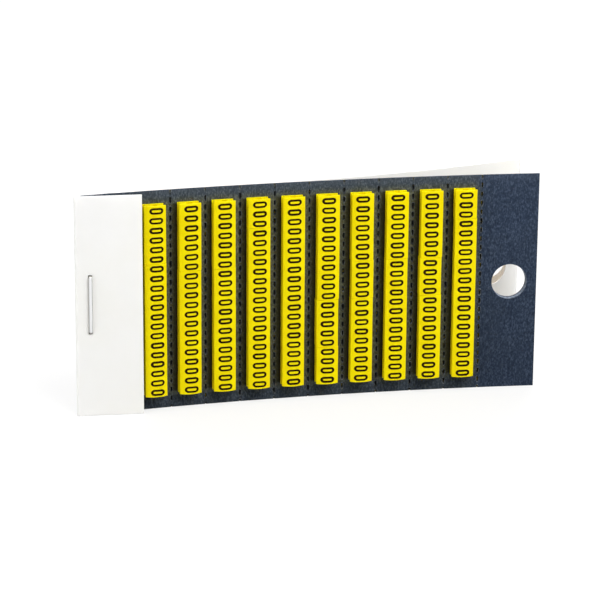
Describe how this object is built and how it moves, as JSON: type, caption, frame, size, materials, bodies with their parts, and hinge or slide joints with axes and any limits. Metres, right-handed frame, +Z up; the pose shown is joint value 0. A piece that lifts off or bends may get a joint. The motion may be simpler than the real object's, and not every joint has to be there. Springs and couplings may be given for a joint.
{
  "type": "cable marker booklet",
  "caption": "Booklet of clip-on cable markers: scored yellow strips printed with a nought on a perforated dark card, stapled into a folded white cover that swings open.",
  "frame": {"origin": "middle of the hang hole, halfway through the card", "axes": "+X right along the card, -Y the card's printed front, +Z up as it stands on its long edges"},
  "size_m": [0.1019, 0.0192, 0.0478],
  "materials": {
    "card": "matt, dark blue-grey, fibrous",
    "cover_board": "smooth matt white",
    "marker_plastic": "satin soft plastic",
    "staple_wire": "bright flattened wire"
  },
  "bodies": {
    "booklet": {"marker_card": "card", "cover_flap": "cover_board", "staple": "staple_wire", "marker_strip_01": "marker_plastic", "marker_strip_02": "marker_plastic", "marker_strip_03": "marker_plastic", "marker_strip_04": "marker_plastic", "marker_strip_05": "marker_plastic", "marker_strip_06": "marker_plastic", "marker_strip_07": "marker_plastic", "marker_strip_08": "marker_plastic", "marker_strip_09": "marker_plastic", "marker_strip_10": "marker_plastic"},
    "cover_panel": {"cover": "cover_board"}
  },
  "joints": [
    {"name": "cover_swing", "type": "hinge", "parent": "booklet", "child": "cover_panel", "pos_m": [-0.08947, 0.0004, 0], "axis": [0, 0, 1], "range_deg": [0, 120]}
  ]
}
